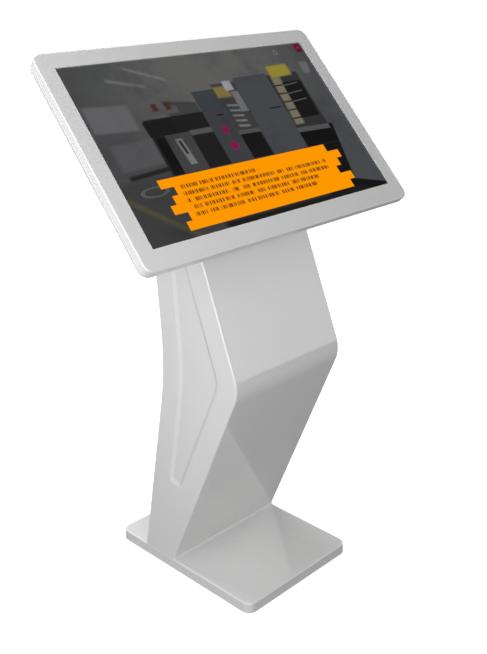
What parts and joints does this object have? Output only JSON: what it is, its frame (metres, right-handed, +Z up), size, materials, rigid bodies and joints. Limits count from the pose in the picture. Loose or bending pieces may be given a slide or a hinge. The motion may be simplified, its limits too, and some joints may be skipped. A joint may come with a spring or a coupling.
{
  "type": "touchscreen kiosk",
  "caption": "Free-standing visitor kiosk: wide tilted touchscreen head on a kneed sheet-metal column with a slab base and a rear equipment door.",
  "frame": {"origin": "on the floor under the middle of the base slab", "axes": "+Z up, -Y towards the standing visitor, +X to the visitor's right"},
  "size_m": [0.7716, 0.394, 1.1148],
  "materials": {
    "white_paint": "smooth gloss white powder coat on steel sheet",
    "screen_glass": "toughened cover glass bonded over a dark display",
    "foam_rubber": "black closed-cell foam strip",
    "bright_steel": "bright plated steel",
    "zinc_steel": "zinc plated steel sheet",
    "circuit_board": "green circuit board with dark components",
    "contact_brass": "plain brass contacts",
    "black_plastic": "fine-textured black moulding"
  },
  "bodies": {
    "kiosk": {"ballast_plate": "zinc_steel", "base_shell": "white_paint", "board_posts": "bright_steel", "button_housing": "bright_steel", "column_bolts": "bright_steel", "controller_board": "circuit_board", "cover_glass": "screen_glass", "cover_screws": "bright_steel", "equipment_shelf": "zinc_steel", "fan_guard": "bright_steel", "fan_housing": "black_plastic", "fan_screws": "bright_steel", "foot_bushes": "bright_steel", "foot_nuts": "bright_steel", "foot_plate": "zinc_steel", "front_panel": "white_paint", "glass_gasket": "foam_rubber", "head_bolts": "bright_steel", "head_bracket": "zinc_steel", "head_frame": "white_paint", "hinge_leaves_panel": "white_paint", "hinge_pins": "bright_steel", "inlet_module": "black_plastic", "inlet_pins": "contact_brass", "lcd_panel": "black_plastic", "lcd_rail_left": "zinc_steel", "lcd_rail_right": "zinc_steel", "lighting_board": "circuit_board", "media_player": "black_plastic", "mount_plate": "zinc_steel", "power_supply": "black_plastic", "rear_panel": "white_paint", "rear_shell": "white_paint", "rib_bolts": "bright_steel", "rib_left": "zinc_steel", "rib_right": "zinc_steel", "rim_posts": "bright_steel", "rim_screws": "bright_steel", "service_cover": "white_paint", "side_panel_left": "white_paint", "side_panel_right": "white_paint", "speaker_left": "black_plastic", "speaker_right": "black_plastic", "supply_spacers": "bright_steel", "terminal_strip": "black_plastic", "touch_board": "circuit_board", "touch_frame": "black_plastic"},
    "door": {"rear_door": "white_paint", "hinge_leaves_door": "white_paint", "lock_barrel": "bright_steel", "lock_nut": "bright_steel"},
    "lock": {"lock_rotor": "bright_steel", "lock_cam": "bright_steel"},
    "rocker": {"power_rocker": "black_plastic"},
    "button": {"power_button": "bright_steel"},
    "fan": {"fan_rotor": "black_plastic"},
    "foot_1": {"levelling_foot_1": "bright_steel"},
    "foot_2": {"levelling_foot_2": "bright_steel"},
    "foot_3": {"levelling_foot_3": "bright_steel"},
    "foot_4": {"levelling_foot_4": "bright_steel"}
  },
  "joints": [
    {"name": "door_swing", "type": "hinge", "parent": "kiosk", "child": "door", "pos_m": [0.11875, 0.08774, 0.23264], "axis": [0, 0.1443, -0.9895], "range_deg": [0, 105]},
    {"name": "lock_turn", "type": "hinge", "parent": "door", "child": "lock", "pos_m": [-0.1, 0.08339, 0.232], "axis": [0, -0.9895, -0.1443], "range_deg": [0, 90]},
    {"name": "rocker_tilt", "type": "hinge", "parent": "kiosk", "child": "rocker", "pos_m": [-0.081, 0.10264, 0.06528], "axis": [-1, 0, 0], "range_deg": [0, 12]},
    {"name": "button_press", "type": "slide", "parent": "kiosk", "child": "button", "axis": [0, -0.9895, -0.1443], "range_m": [0, 0.0015], "stiffness_N_per_m": 1500, "springref_m": -0.0005},
    {"name": "fan_spin", "type": "hinge", "parent": "kiosk", "child": "fan", "pos_m": [0, 0.07254, 0.65], "axis": [0, 0.993, -0.1184], "continuous": true},
    {"name": "foot_1_screw", "type": "slide", "parent": "kiosk", "child": "foot_1", "axis": [0, 0, -1], "range_m": [0, 0.008]},
    {"name": "foot_2_screw", "type": "slide", "parent": "kiosk", "child": "foot_2", "axis": [0, 0, -1], "range_m": [0, 0.008]},
    {"name": "foot_3_screw", "type": "slide", "parent": "kiosk", "child": "foot_3", "axis": [0, 0, -1], "range_m": [0, 0.008]},
    {"name": "foot_4_screw", "type": "slide", "parent": "kiosk", "child": "foot_4", "axis": [0, 0, -1], "range_m": [0, 0.008]}
  ]
}
